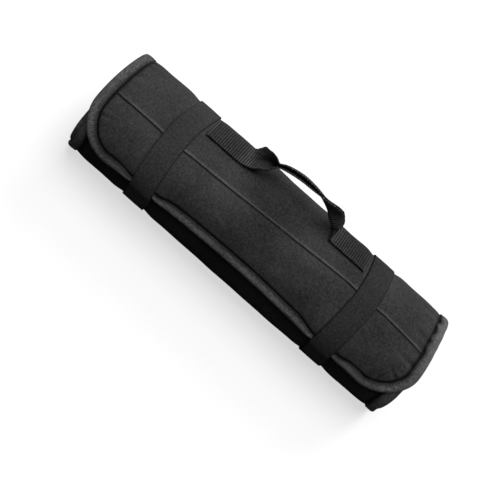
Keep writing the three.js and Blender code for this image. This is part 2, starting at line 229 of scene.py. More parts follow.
def rounded_place(distance, x):
    """Rounds the flap's corners: rows and columns keep their own depth inside the bound edge."""
    side = np.sign(x)
    from_side = HALF_LENGTH - np.abs(x)
    in_corner = np.maximum(distance, from_side) < CORNER_RADIUS
    shallow = np.minimum(distance, from_side)
    deep = np.maximum(distance, from_side)
    radius = np.maximum(CORNER_RADIUS - shallow, 1e-6)
    angle = np.pi / 4 * (CORNER_RADIUS - deep) / radius
    less = CORNER_RADIUS - radius * np.cos(angle)
    more = CORNER_RADIUS - radius * np.sin(angle)
    front = distance <= from_side
    new_distance = np.where(front, less, more)
    new_side = np.where(front, more, less)
    new_x = np.where(in_corner, side * (HALF_LENGTH - new_side), x)
    return np.where(in_corner, new_distance, distance), new_x

# %% [markdown]
# The camera looks down on the flap's side from 1.3 metres away, and is turned so that the roll runs from the
# upper left to the lower right of the picture. It could be placed by hand in the viewport. Angles and
# distances are used so that each can be changed alone.

# %% Camera
ELEVATION = 60.4  # degrees
AZIMUTH = -4.6
PICTURE_TURN = 45.5
CAMERA_DISTANCE = 1.3
LENS = 85.15
ROLL_MIDDLE = Vector((0, 0, 56 * MM))
AIM_RIGHT = -27.2 * MM  # how far the picture's middle lies beside the roll's
AIM_UP = -11.6 * MM


def new_object(name, data):
    made = bpy.data.objects.new(name, data)
    bpy.context.scene.collection.objects.link(made)
    return made


def place_camera():
    elevation, azimuth, turn = radians(ELEVATION), radians(AZIMUTH), radians(PICTURE_TURN)
    back = Vector((sin(azimuth) * cos(elevation), -cos(azimuth) * cos(elevation), sin(elevation)))
    level = Vector((cos(azimuth), sin(azimuth), 0))
    upright = back.cross(level)
    right = cos(turn) * level + sin(turn) * upright
    up = back.cross(right)
    camera = new_object("camera", bpy.data.cameras.new("camera"))
    aim = ROLL_MIDDLE + right * AIM_RIGHT + up * AIM_UP
    turned = Matrix((right, up, back)).transposed().to_4x4()
    camera.matrix_world = Matrix.Translation(aim + back * CAMERA_DISTANCE) @ turned
    camera.data.lens = LENS
    bpy.context.scene.camera = camera
    return camera


camera = place_camera()
print("the camera stands at", [round(v, 3) for v in camera.location])

# %% [markdown]
# The floor is plain and pale. Light comes softly from above and from behind the roll, so that the only shadow
# is a short one in front of it. Area lights could do it. Two wide suns are simpler, because only their
# direction matters.

# %% Floor and lights
FLOOR_SIZE = 12.0
FLOOR_LIT = 0.33  # the part of the floor's white that shadows darken
FLOOR_GLOW = 0.64  # the part that they don't
FLOOR_BOUNCE = 0.06  # how light the floor is for the light that it throws back
SKY_STRENGTH = 0.08


def plain_material(name, colour, roughness):
    made = bpy.data.materials.new(name)
    made.use_nodes = True
    shader = made.node_tree.nodes["Principled BSDF"]
    shader.inputs["Base Color"].default_value = (*colour, 1)
    shader.inputs["Roughness"].default_value = roughness
    return made


def deselect_all():
    for selected in list(bpy.context.selected_objects):
        selected.select_set(False)


def math_node(tree, operation, a, b=None, c=None):
    node = tree.nodes.new("ShaderNodeMath")
    node.operation = operation
    for i, value in enumerate((a, b, c)):
        if isinstance(value, (int, float)):
            node.inputs[i].default_value = value
        elif value is not None:
            tree.links.new(value, node.inputs[i])
    return node.outputs[0]


def times(tree, a, b):
    return math_node(tree, "MULTIPLY", a, b)


def floor_material():
    """White to the camera, dark to other rays, so that little light comes back up under the roll."""
    made = plain_material("floor_white", (FLOOR_LIT,) * 3, 0.9)
    tree = made.node_tree
    shader = tree.nodes["Principled BSDF"]
    ray = tree.nodes.new("ShaderNodeLightPath")
    mix = tree.nodes.new("ShaderNodeMix")
    mix.data_type = "RGBA"
    mix.inputs["A"].default_value = (FLOOR_BOUNCE,) * 3 + (1,)
    mix.inputs["B"].default_value = (FLOOR_LIT,) * 3 + (1,)
    tree.links.new(ray.outputs["Is Camera Ray"], mix.inputs["Factor"])
    tree.links.new(mix.outputs["Result"], shader.inputs["Base Color"])
    shader.inputs["Emission Color"].default_value = (1, 1, 1, 1)
    glow = times(tree, ray.outputs["Is Camera Ray"], FLOOR_GLOW)
    tree.links.new(glow, shader.inputs["Emission Strength"])
    return made


deselect_all()
bpy.ops.mesh.primitive_plane_add(size=FLOOR_SIZE, location=(0, 0, 0))
floor = bpy.context.object
floor.name = "floor"
floor.data.materials.append(floor_material())


def soft_sun(name, towards, spread, strength):
    light = bpy.data.lights.new(name, "SUN")
    light.angle = radians(spread)
    light.energy = strength
    holder = new_object(name, light)
    holder.rotation_mode = "QUATERNION"
    holder.rotation_quaternion = Vector(towards).to_track_quat("Z", "Y")


soft_sun("key_above", towards=(0.05, 0.2, 1.0), spread=55, strength=2.7)
soft_sun("rim_behind", towards=(0.2, 1.0, 0.6), spread=30, strength=1.9)

bpy.context.scene.view_settings.view_transform = "Standard"
world = bpy.data.worlds.new("studio")
bpy.context.scene.world = world
world.use_nodes = True
sky = world.node_tree.nodes["Background"]
sky.inputs["Color"].default_value = (1, 1, 1, 1)
sky.inputs["Strength"].default_value = SKY_STRENGTH
print("lights placed")

# %% [markdown]
# Cloth needs its threads. They could be modelled or taken from a picture of cloth. Here each weave is a node
# group made of waves and noise, because it costs no geometry and stays sharp close up. The group reads
# the piece's own UV map, in metres, so a thread keeps its real size on every piece.

# %% A weave as a node group
LONG_STREAK = 0.09  # noise steps for each thread along the thread
SHORT_STREAK = 0.6  # and across it
RIB_STREAK = 0.5
RIB_SHARE = 0.6  # of a tape's relief, the rest is its thread turns
TURN_SHARE = 0.4
SLOW_SCALE = 14
FINE_SCALE = 420


def new_group(name, inputs, outputs):
    group = bpy.data.node_groups.new(name, "ShaderNodeTree")
    for in_out, sockets in (("INPUT", inputs), ("OUTPUT", outputs)):
        for label, kind in sockets.items():
            group.interface.new_socket(label, in_out=in_out, socket_type="NodeSocket" + kind)
    start = group.nodes.new("NodeGroupInput")
    end = group.nodes.new("NodeGroupOutput")
    return group, start, end


def noise_node(tree, vector, scale, detail):
    noise = tree.nodes.new("ShaderNodeTexNoise")
    noise.inputs["Scale"].default_value = scale
    noise.inputs["Detail"].default_value = detail
    tree.links.new(vector, noise.inputs["Vector"])
    return noise.outputs[0]


def scaled(tree, colour, gain):
    """A colour made lighter or darker by a number."""
    scale = tree.nodes.new("ShaderNodeVectorMath")
    scale.operation = "SCALE"
    tree.links.new(colour, scale.inputs[0])
    tree.links.new(gain, scale.inputs["Scale"])
    return scale.outputs[0]


def counted(group, start, size_u, size_v):
    """The flat place, counted in threads or ribs of the named sizes."""
    split = group.nodes.new("ShaderNodeSeparateXYZ")
    group.links.new(start.outputs["UV"], split.inputs[0])
    u = math_node(group, "DIVIDE", split.outputs["X"], start.outputs[size_u])
    return u, math_node(group, "DIVIDE", split.outputs["Y"], start.outputs[size_v])


def streaks(group, u, v, stretch_u, stretch_v):
    """Noise drawn out along a thread, so that no two threads have quite the same shade."""
    place = group.nodes.new("ShaderNodeCombineXYZ")
    group.links.new(times(group, u, stretch_u), place.inputs["X"])
    group.links.new(times(group, v, stretch_v), place.inputs["Y"])
    return noise_node(group, place.outputs[0], scale=1, detail=2)


def wave(group, value):
    """Round humps, one for each whole number."""
    return math_node(group, "ABSOLUTE", math_node(group, "SINE", times(group, value, np.pi)))


def mix_values(group, factor, a, b):
    mix = group.nodes.new("ShaderNodeMix")
    group.links.new(factor, mix.inputs["Factor"])
    group.links.new(a, mix.inputs["A"])
    group.links.new(b, mix.inputs["B"])
    return mix.outputs["Result"]


def make_weave_group():
    """Plain weave: threads along and across take turns on top."""
    group, start, end = new_group(
        "plain_weave",
        {"UV": "Vector", "Thread": "Float"},
        {"Height": "Float", "Yarn": "Float"},
    )
    u, v = counted(group, start, "Thread", "Thread")
    cells = math_node(group, "ADD", math_node(group, "FLOOR", u), math_node(group, "FLOOR", v))
    over = math_node(group, "FLOORED_MODULO", cells, 2.0)
    group.links.new(mix_values(group, over, wave(group, u), wave(group, v)), end.inputs["Height"])
    up_and_down = streaks(group, u, v, SHORT_STREAK, LONG_STREAK)
    left_and_right = streaks(group, u, v, LONG_STREAK, SHORT_STREAK)
    group.links.new(mix_values(group, over, up_and_down, left_and_right), end.inputs["Yarn"])
    return group


def make_rib_group():
    """Ribs across a tape, each a row of tight thread turns."""
    group, start, end = new_group(
        "tape_ribs",
        {"UV": "Vector", "Rib": "Float", "Thread": "Float"},
        {"Height": "Float", "Yarn": "Float"},
    )
    along, across = counted(group, start, "Rib", "Thread")
    shift = times(group, math_node(group, "FLOOR", along), 0.5)
    turns = wave(group, math_node(group, "ADD", across, shift))
    rib = times(group, wave(group, along), RIB_SHARE)
    group.links.new(math_node(group, "MULTIPLY_ADD", turns, TURN_SHARE, rib), end.inputs["Height"])
    group.links.new(streaks(group, along, across, RIB_STREAK, RIB_STREAK), end.inputs["Yarn"])
    return group


def make_wear_group():
    """Slow changes of shade over a piece, mixed with fine ones."""
    group, start, end = new_group(
        "cloth_shade",
        {"Place": "Vector", "Colour": "Color", "Change": "Float"},
        {"Colour": "Color"},
    )
    slow = noise_node(group, start.outputs["Place"], SLOW_SCALE, detail=3)
    fine = noise_node(group, start.outputs["Place"], FINE_SCALE, detail=2)
    half_slow = times(group, slow, 0.5)
    mixed = math_node(group, "MULTIPLY_ADD", fine, 0.5, half_slow)
    centred = math_node(group, "SUBTRACT", mixed, 0.5)
    swing = times(group, centred, start.outputs["Change"])
    gain = math_node(group, "MULTIPLY_ADD", swing, 4.0, 1.0)
    group.links.new(scaled(group, start.outputs["Colour"], gain), end.inputs["Colour"])
    return group


weave_group = make_weave_group()
rib_group = make_rib_group()
wear_group = make_wear_group()
print("node groups:", weave_group.name, rib_group.name, wear_group.name)

# %% [markdown]
# Every cloth here is the same recipe with other values: a weave or ribs for the height, a slow change of
# shade, a rough surface and a little sheen at the edges. Each could be built by hand. One function builds all
# four, so that they stay alike where the real cloths are. The weave also darkens the colour in its hollows,
# as painted shade. Where a piece is worn, or where light or shade is painted onto it, its own attribute,
# named for wear and shading, makes it lighter or darker.

# %% Cloth materials
YARN_CHANGE = 1.6  # how much the threads differ in shade
DARKEST = 0.06
SHINE = 0.08
SHEEN_ROUGHNESS = 0.5
RIB_PITCH = 3.0 * MM  # of the handle's webbing, which is ribbed in shape and in shade


def cloth_material(name, colour, pattern, sizes, bump, hollow_shade, change, roughness, sheen):
    made = bpy.data.materials.new(name)
    made.use_nodes = True
    tree = made.node_tree
    shader = tree.nodes["Principled BSDF"]
    uv = tree.nodes.new("ShaderNodeUVMap")
    uv.uv_map = "cut"
    weave = tree.nodes.new("ShaderNodeGroup")
    weave.node_tree = pattern
    tree.links.new(uv.outputs[0], weave.inputs["UV"])
    for label, value in sizes.items():
        weave.inputs[label].default_value = value
    place = tree.nodes.new("ShaderNodeTexCoord")
    shade = tree.nodes.new("ShaderNodeGroup")
    shade.node_tree = wear_group
    tree.links.new(place.outputs["Object"], shade.inputs["Place"])
    shade.inputs["Colour"].default_value = (*colour, 1)
    shade.inputs["Change"].default_value = change
    # The weave's low places are painted darker than its tops: painted shade in its hollows, strongest in the
    # webbing's ribs.
    low, high = hollow_shade
    hollow_shade_gain = math_node(tree, "MULTIPLY_ADD", weave.outputs["Height"], high - low, low)
    hollow_shade_gain = math_node(tree, "MAXIMUM", hollow_shade_gain, DARKEST)
    uneven = math_node(tree, "MULTIPLY_ADD", weave.outputs["Yarn"], YARN_CHANGE, 1 - YARN_CHANGE / 2)
    # The attribute holds worn places together with painted light and shade, and scales the colour.
    worn_and_shaded = tree.nodes.new("ShaderNodeAttribute")
    worn_and_shaded.attribute_name = "wear_and_shading"
    lit = math_node(tree, "MAXIMUM", math_node(tree, "ADD", worn_and_shaded.outputs["Fac"], 1.0), DARKEST)
    gain = times(tree, times(tree, hollow_shade_gain, uneven), lit)
    tree.links.new(scaled(tree, shade.outputs["Colour"], gain), shader.inputs["Base Color"])
    raised = tree.nodes.new("ShaderNodeBump")
    raised.inputs["Strength"].default_value = 1.0
    raised.inputs["Distance"].default_value = bump
    tree.links.new(weave.outputs["Height"], raised.inputs["Height"])
    tree.links.new(raised.outputs["Normal"], shader.inputs["Normal"])
    shader.inputs["Roughness"].default_value = roughness
    shader.inputs["Sheen Weight"].default_value = sheen
    shader.inputs["Sheen Roughness"].default_value = SHEEN_ROUGHNESS
    shader.inputs["Specular IOR Level"].default_value = SHINE
    return made


panel_cloth = cloth_material(
    "woven_polyester", (0.037, 0.037, 0.0372), weave_group, {"Thread": 0.75 * MM},
    bump=0.15 * MM, hollow_shade=(0.3, 1.3), change=0.8, roughness=0.85, sheen=0.03,
)
tape_cloth = cloth_material(
    "edge_tape", (0.055, 0.055, 0.055), rib_group, {"Rib": 1.9 * MM, "Thread": 1.4 * MM},
    bump=0.3 * MM, hollow_shade=(-0.3, 2.0), change=0.8, roughness=0.8, sheen=0.03,
)
band_cloth = cloth_material(
    "woven_elastic", (0.027, 0.027, 0.0272), rib_group, {"Rib": 1.0 * MM, "Thread": 1.5 * MM},
    bump=0.2 * MM, hollow_shade=(0.1, 1.6), change=0.6, roughness=0.8, sheen=0.02,
)
webbing_cloth = cloth_material(
    "ribbed_webbing", (0.022, 0.022, 0.0222), rib_group, {"Rib": RIB_PITCH, "Thread": 1.6 * MM},
    bump=0.5 * MM, hollow_shade=(-1.0, 2.5), change=0.6, roughness=0.7, sheen=0.02,
)
thread_finish = plain_material("black_thread", (0.006, 0.006, 0.006), 0.6)
print("materials:", [m.name for m in bpy.data.materials])

# %% [markdown]
# A piece of cloth starts as Blender's grid, which stands for the flat cut. A function says where each of its
# columns and rows lies on the roll. Thickness then comes from Solidify, and Subdivision smooths most pieces.
# A solid could be modelled straight away, but without a flat cut the weave would have no direction to
# follow. The flat place is kept as the UV map named cut.

# %% Cutting and winding a grid
def flat_grid(name, columns, rows):
    """A grid, with the number of each vertex's column and row."""
    deselect_all()
    bpy.ops.mesh.primitive_grid_add(x_subdivisions=columns, y_subdivisions=rows, size=1, calc_uvs=False)
    piece = bpy.context.object
    piece.name = name
    piece.data.name = name
    co = np.empty(len(piece.data.vertices) * 3)
    piece.data.vertices.foreach_get("co", co)
    co = co.reshape(-1, 3)
    i = np.rint((co[:, 0] + 0.5) * columns).astype(int)
    j = np.rint((co[:, 1] + 0.5) * rows).astype(int)
    return piece, i, j


def spread(count, start, end, density):
    """Places from start to end that lie closer together where the density is higher."""
    fine = np.linspace(start, end, 4001)
    weight = density(fine)
    total = np.concatenate([[0], np.cumsum((weight[1:] + weight[:-1]) / 2)])
    return np.interp(np.linspace(0, total[-1], count + 1), total, fine)


def set_points(piece, points):
    piece.data.vertices.foreach_set("co", np.ascontiguousarray(points, float).ravel())
    piece.data.update()


def set_cut(piece, across, along):
    """Keeps each vertex's flat place, in metres, as the UV map."""
    layer = piece.data.uv_layers.new(name="cut")
    corner = np.empty(len(piece.data.loops), int)
    piece.data.loops.foreach_get("vertex_index", corner)
    layer.data.foreach_set("uv", np.stack([across[corner], along[corner]], axis=-1).ravel())


def set_wear_and_shading(piece, wear_and_shading):
    """Keeps how worn each vertex is, together with painted light and shade: above 0 it gets lighter, below 0
    darker.
    """
    layer = piece.data.attributes.new("wear_and_shading", "FLOAT", "POINT")
    layer.data.foreach_set("value", np.broadcast_to(wear_and_shading, len(piece.data.vertices)).astype(np.float32))


def lay_on_floor(piece):
    """Presses what would sink into the floor flat against it."""
    for vertex in piece.data.vertices:
        vertex.co.z = max(vertex.co.z, FLOOR_GAP)


def choose(piece):
    """Makes a piece the one that the next operator works on."""
    deselect_all()
    piece.select_set(True)
    bpy.context.view_layer.objects.active = piece


def weld(piece):
    """Joins a ring's two ends, where its first and last points meet."""
    choose(piece)
    bpy.ops.object.mode_set(mode="EDIT")
    bpy.ops.mesh.select_all(action="SELECT")
    bpy.ops.mesh.remove_doubles(threshold=1e-6)
    bpy.ops.object.mode_set(mode="OBJECT")


def apply_modifier(piece, kind, **settings):
    modifier = piece.modifiers.new(kind.lower(), kind)
    for label, value in settings.items():
        setattr(modifier, label, value)
    choose(piece)
    bpy.ops.object.modifier_apply(modifier=modifier.name)


def thicken(piece, thickness, shares=None, levels=1):
    """Gives cloth its thickness, thinner where the shares say so, and smooths it."""
    settings = {}
    if shares is not None:
        group = piece.vertex_groups.new(name="padding")
        for i, share in enumerate(shares):
            group.add([i], float(share), "REPLACE")
        settings = {"vertex_group": group.name, "thickness_vertex_group": 0}
    apply_modifier(piece, "SOLIDIFY", thickness=thickness, offset=0, use_quality_normals=True, **settings)
    if levels:
        apply_modifier(piece, "SUBSURF", levels=levels, render_levels=levels)


def dress(piece, material, slot, *nodes):
    """Gives a piece its material and says which body and nodes of the frame it belongs to. The slot is not
    used.
    """
    piece.data.materials.clear()
    piece.data.materials.append(material)
    lay_on_floor(piece)
    choose(piece)
    bpy.ops.object.shade_smooth()
    if nodes:
        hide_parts(*nodes)
    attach(piece, "root")
    print(piece.name, "has", len(piece.data.polygons), "faces")

# %% [markdown]
# The panel is padding between two cloths. It is thin where it is sewn and swells beside each seam.
# Between the bands it bulges a little, and small puckers run in from the tape, where the sewing has drawn the
# cloth together. These forms could be sculpted. Formulas are used because most of them follow a sewn line.

# %% How the padding swells
SEAM_THICKNESS = 2.6 * MM
SEAM_RUN = 6 * MM
SEAM_RIDGE = 0.6 * MM
SWELL = 1.5 * MM
SWELL_RUN = 20 * MM
SWELL_BESIDE_BAND = 16 * MM
SWELL_AT_SEAM = 0.3
PUCKER = 2.3 * MM
PUCKER_REACH = 5.5 * MM
DRAWN_IN = 0.42  # share of the tape's width that a band hides where it steps off the flap
HANDLE_SEAT = 121  # degrees from the front, over the top, to the middle of the sewn ends
WEBBING_WIDTH = 38 * MM
seat_share = (HANDLE_SEAT - FLAP_START) / 360
SEAT = outline_lengths[round(seat_share * (len(outline_lengths) - 1))]
PATCHES = ((-120 * MM, -64 * MM), (54 * MM, 115 * MM))  # where the handle's sewn ends hold the cloth flat
HANDLE_SHADOW_PLACES = (-37 * MM, 53 * MM)  # where the handle's roots get a painted shadow on the cloth beside them


def puffed(thin, run, inside):
    """The thickness at some way inside a seam that is thin itself."""
    t = 1 - np.clip(inside / run, 0, 1)
    return thin + (PANEL_THICKNESS - thin) * np.sqrt(1 - t * t)


def ripple(along, *periods):
    """An uneven wave: a sum of sines whose lengths don't fit each other."""
    total = np.zeros_like(np.asarray(along, float))
    for i, period in enumerate(periods):
        total += np.sin(2 * np.pi * along / period + 1.7 * i) / (1 + 0.4 * i)
    return total / len(periods)


def tape_share(distance, x):
    """How much of the tape's width shows: the bands draw it in where they step off the flap."""
    at_end = 1 - smooth(10 * MM, 40 * MM, distance)
    return 1 - DRAWN_IN * at_end * near(np.clip(beside_band(x, distance), 0, None), 15 * MM)


def swell_at(distance, x, depth):
    """How far the outer turn's face bulges past the plain thickness."""
    free = smooth(0, SWELL_RUN, depth - THIN_DEPTH)
    free = free * smooth(0, SWELL_BESIDE_BAND, beside_band(x, distance))
    off_seam = smooth(2 * MM, 18 * MM, np.abs(distance - seam_at(x)))
    free = free * (SWELL_AT_SEAM + (1 - SWELL_AT_SEAM) * off_seam)
    for low, high in PATCHES:
        off = np.maximum(np.maximum(low - x, x - high), np.abs(distance - SEAT) - WEBBING_WIDTH / 2)
        free = free * smooth(1 * MM, 14 * MM, off)
    outer_turn = 1 - smooth(0.9, 0.98, distance / PERIMETER)
    lifted = 1 - smooth(0.3, 0.8, -outline_frame(distance)[3])
    waves = 0.5 + 0.5 * ripple(x + 0.6 * distance, 47 * MM, 71 * MM, 131 * MM)
    cross = 0.4 * ripple(distance - 0.35 * x, 33 * MM, 58 * MM)
    return SWELL * free * outer_turn * lifted * (waves + cross)


def along_edge(distance, x):
    """How far along the bound edge the nearest place lies, from the middle of the flap's end."""
    from_side = HALF_LENGTH - np.abs(x)
    past_side = np.clip(CORNER_RADIUS - from_side, 0, None)
    past_end = np.clip(CORNER_RADIUS - distance, 0, None)
    in_middle = (distance >= CORNER_RADIUS) & (from_side >= CORNER_RADIUS)
    corner = np.where(in_middle, 0, np.arctan2(past_side, past_end))
    straight = np.minimum(np.abs(x), HALF_LENGTH - CORNER_RADIUS)
    up_the_side = np.clip(distance - CORNER_RADIUS, 0, None) * (from_side < distance)
    return straight + CORNER_RADIUS * corner + up_the_side


def pucker_at(around, inside, beside, strength):
    """Small folds that run in from the tape: deepest a few millimetres inside it."""
    reach = inside / PUCKER_REACH
    fade = reach * np.exp(1 - reach) * smooth(0, 5 * MM, beside)
    return -PUCKER * strength * fade * np.clip(ripple(around, 19 * MM, 12.3 * MM, 31 * MM) + 0.15, 0, None)

# %% Making a padded panel
LEFT_PUCKERS = 0.9  # how strong the puckers are at the left side and at the right one
RIGHT_PUCKERS = 1.3
PUCKER_SHIFT = 200 * MM  # so that the two sides don't pucker alike
PAINTED_UNDER_FLAP_SHADE = 0.55  # painted shade: how much darker the cloth is painted where it runs under the flap
# How dark the painted shadow beside the handle's roots is.
PAINTED_HANDLE_SHADOW = 0.35
# How light the painted highlight on the seam's ridge is.
RIDGE_LIGHT = 0.8


def across_density(x):
    """Columns lie closer together where the panel bends: at its ends and beside the bands."""
    at_end = near(HALF_LENGTH - np.abs(x), 20 * MM)
    return 1 + 2.2 * at_end + 1.4 * near(beside_band(x, 0 * x), 10 * MM)


def padded_panel(name, columns, along, start, end, lip):
    """A stretch of the panel from start(x) to end(x). Its lip is 1 if its edge stands up at the seam."""
    piece, i, j = flat_grid(name, columns, len(along) - 1)
    half = HALF_LENGTH - PANEL_INSET
    x = spread(columns, -half, half, across_density)[i]
    q = ((along - along[0]) / (along[-1] - along[0]))[j]
    distance = start(x) + (end(x) - start(x)) * q
    from_end = np.minimum(distance, PANEL_END - distance)
    depth = np.minimum(from_end, HALF_LENGTH - np.abs(x))
    inside = np.clip(depth - THIN_DEPTH * tape_share(distance, x), 0, None)
    off_seam = np.abs(distance - seam_at(x))
    thick = puffed(EDGE_THICKNESS, PUFF_RUN, inside)
    if not lip:
        thick = np.minimum(thick, puffed(SEAM_THICKNESS, SEAM_RUN, off_seam))
    around = along_edge(distance, x) + np.where(x > 0, 0, PUCKER_SHIFT)
    strength = np.where(x > 0, RIGHT_PUCKERS, LEFT_PUCKERS)
    beside = beside_band(x, distance)
    proud = swell_at(distance, x, depth) + pucker_at(around, inside, beside, strength)
    ridge = lip * near(off_seam - 1.2 * MM, 1.6 * MM) * smooth(0, 6 * MM, inside)
    proud = proud + SEAM_RIDGE * ridge
    flat_distance, flat_x = rounded_place(distance, x)
    set_points(piece, rolled(flat_distance, flat_x, proud / 2))
    set_cut(piece, flat_x, flat_distance)
    # Painted shade darkens the groove beside the tape and, on the flap, the line of the seam; the seam's
    # ridge gets a painted highlight.
    painted_crease_shade = 1.15 * near(inside, 2.1 * MM) + (1 - lip) * near(off_seam, 1.2 * MM)
    # Painted shade: the cloth is darker from where it ducks under the flap onwards, standing in for the shade
    # there.
    painted_under_flap_shade = PAINTED_UNDER_FLAP_SHADE * smooth(0.84, 0.92, distance / PERIMETER)
    # A painted shadow on the cloth beside the handle's roots.
    painted_shading = sum(near(distance - SEAT, 15 * MM) * near(x - place, 15 * MM) for place in HANDLE_SHADOW_PLACES)
    set_wear_and_shading(piece, RIDGE_LIGHT * ridge - np.clip(painted_crease_shade, 0, 1.15) - painted_under_flap_shade - PAINTED_HANDLE_SHADOW * painted_shading)
    shares = (thick + proud) / (PANEL_THICKNESS + SWELL)
    thicken(piece, PANEL_THICKNESS + SWELL, np.clip(shares, 0.1, 1))
    return piece


FLAP_COLUMNS, FLAP_ROWS = 190, 52
WOUND_COLUMNS, WOUND_ROWS = 94, 126
SEAM_CLEARANCE = 0.15 * MM  # how far each of the two pieces ends beside the seam's line


def flap_density(d):
    """Rows lie closer together beside the tape, and closest at the seam."""
    return 1 + 1.5 * near(d - THIN_DEPTH, 7 * MM) + 3 * near(d - SEAM_PLACE, 4 * MM)


def wound_density(d):
    """Rows lie closer together where the panel shows, and closest at the seam."""
    return 0.4 + 0.6 * (d < PERIMETER) + 1.0 * (d < 170 * MM) + 6 * near(d - SEAM_PLACE, 4 * MM)


flap_panel = padded_panel(
    "front_flap", FLAP_COLUMNS, spread(FLAP_ROWS, PANEL_INSET, SEAM_PLACE, flap_density),
    start=lambda x: np.full_like(x, PANEL_INSET), end=lambda x: seam_at(x) - SEAM_CLEARANCE, lip=0,
)
dress(flap_panel, panel_cloth, "cloth", "flap_panel")

roll_panel = padded_panel(
    "wound_panel", WOUND_COLUMNS, spread(WOUND_ROWS, SEAM_PLACE, PANEL_END - PANEL_INSET, wound_density),
    start=lambda x: seam_at(x) + SEAM_CLEARANCE,
    end=lambda x: np.full_like(x, PANEL_END - PANEL_INSET), lip=1,
)
dress(roll_panel, panel_cloth, "cloth", "roll_panel")

# %% [markdown]
# One tape is folded over the panel's whole edge: along the flap's end, round its corners, and down both sides
# into the roll. Its section is a narrow U. A curve with a bevel profile could make it, but would give it no
# flat cut. So it is one long grid too, wound like the panel, and every row of it is bent into the U.

# %% The edge tape
TAPE_STEP = 3.2 * MM
TAPE_LEG = EDGE_THICKNESS / 2 + SEWING_GAP + TAPE_THICKNESS / 2
TAPE_INSIDE = [12.5, 11.3, 8.6, 5.5, 2.6, 0.9, 0.4, 0.9, 2.4, 5.5, 9.0, 12.2, 12.5]  # mm inside the edge
TAPE_HEIGHT = [0.8, 0.92, 1.15, 1.28, 1.15, 0.72, 0, -0.62, -1.0, -1.05, -1.0, -1.0, -0.93]  # in tape legs
tape_inside = np.array(TAPE_INSIDE) * MM
tape_height = np.array(TAPE_HEIGHT) * TAPE_LEG
INNER_CORNER = 3 * MM
LOOSE_AT = 105 * MM  # the tape waves most here, down the right side
SAGS_AT = 150 * MM  # and is wider here, down the left one


def edge_walk():
    """Places along the bound edge, with the direction into the cloth, starting inside the roll."""
    def line(start, end, inward):
        count = max(int(np.hypot(*(np.subtract(end, start))) / TAPE_STEP), 2)
        t = np.linspace(0, 1, count, endpoint=False)[:, None]
        return np.hstack([np.array(start) + t * np.subtract(end, start), np.tile(inward, (count, 1))])

    def arc(centre, radius, first, last):
        count = max(int(radius * abs(last - first) / TAPE_STEP), 5)
        angle = np.linspace(first, last, count, endpoint=False)
        out = np.stack([-np.cos(angle), np.sin(angle)], axis=-1)
        return np.hstack([np.array(centre) + radius * out, -out])

    half, r, end, tight = HALF_LENGTH, CORNER_RADIUS, PANEL_END, INNER_CORNER
    right_angle = np.pi / 2
    return np.vstack([
        line((end, 0), (end, tight - half), (-1, 0)),
        arc((end - tight, tight - half), tight, 2 * right_angle, 3 * right_angle),
        line((end - tight, -half), (r, -half), (0, 1)),
        arc((r, r - half), r, 3 * right_angle, 4 * right_angle),
        line((0, r - half), (0, half - r), (1, 0)),
        arc((r, half - r), r, 0, right_angle),
        line((r, half), (end - tight, half), (0, -1)),
        arc((end - tight, half - tight), tight, right_angle, 2 * right_angle),
        line((end, half - tight), (end, 0), (-1, 0)),
    ])


def tape_places(walk, inside, along):
    """Flat places that lie some way inside the bound edge."""
    share = tape_share(walk[:, 0], walk[:, 1])
    right_side = smooth(0, 0.9, walk[:, 1] / HALF_LENGTH)
    loose = near(walk[:, 0] - LOOSE_AT, 45 * MM) * (walk[:, 1] > 0)
    wobble = (0.35 + 0.8 * right_side + 1.8 * loose) * MM * ripple(along, 31 * MM, 19 * MM, 47 * MM)
    wobble = wobble + 3.2 * loose * MM * ripple(along, 17 * MM, 12 * MM, 26 * MM)
    wobble = wobble + 2.5 * MM * near(walk[:, 0] - SAGS_AT, 20 * MM) * (walk[:, 1] < 0)
    deep = inside * share + wobble * np.minimum(inside / (8 * MM), 1)
    return walk[:, 0] + walk[:, 2] * deep, walk[:, 1] + walk[:, 3] * deep


def tape_lift(walk, along):
    """How the tape's outer face wrinkles, most where a band bunches it."""
    beside = beside_band(walk[:, 1], walk[:, 0])
    at_end = 1 - smooth(5 * MM, 30 * MM, walk[:, 0])
    bunched = at_end * near(beside - 6 * MM, 5 * MM)
    return 0.35 * MM * ripple(along + 5 * MM, 13 * MM, 27 * MM, 8.7 * MM) + 1.1 * MM * bunched


def make_tape():
    walk = edge_walk()
    stations, section = len(walk), len(tape_inside)
    piece, i, j = flat_grid("edge_tape", stations, section - 1)
    place = walk[i % stations]
    along = i * TAPE_STEP
    distance, x = tape_places(place, tape_inside[j], along)
    lift = np.where(tape_height[j] > 0, tape_lift(place, along), 0)
    set_points(piece, rolled(distance, x, tape_height[j] + lift))
    legs = [np.diff(v, prepend=v[0]) for v in (tape_inside, tape_height)]
    round_section = np.cumsum(np.hypot(*legs))
    set_cut(piece, along, round_section[j])
    # The middle of the tape's face is made lighter all round, and much lighter along the flap's front end, a
    # painted highlight where that stretch faces the light; its inner edge gets a painted shadow line.
    front = place[:, 2] * (place[:, 0] < CORNER_RADIUS)
    painted_shading = (0.3 + 0.9 * front) * near(tape_inside[j] - 4.5 * MM, 4 * MM)
    set_wear_and_shading(piece, painted_shading - 0.7 * near(tape_inside[j] - 12 * MM, 1.2 * MM) - 0.1)
    weld(piece)
    thicken(piece, TAPE_THICKNESS)
    return piece


tape = make_tape()
dress(tape, tape_cloth, "binding", "binding_left", "binding_right", "binding_flap", "binding_inner")

# %% [markdown]
# Stitches are many and small, so one is modelled, with twenty faces, and a row is one mesh of its copies.
# Each lies along its seam, partly sunk into the cloth. An array along a curve could repeat it. Here the seams
# are formulas, so each copy is placed by them.

# %% A row of stitches
STITCH_PITCH = 3.6 * MM
STITCH_LENGTH = 2.7 * MM
STITCH_WIDTH = 0.8 * MM
TAPE_STITCH_LIFT = 0.2 * MM
SEAM_STITCH_LIFT = 0.15 * MM


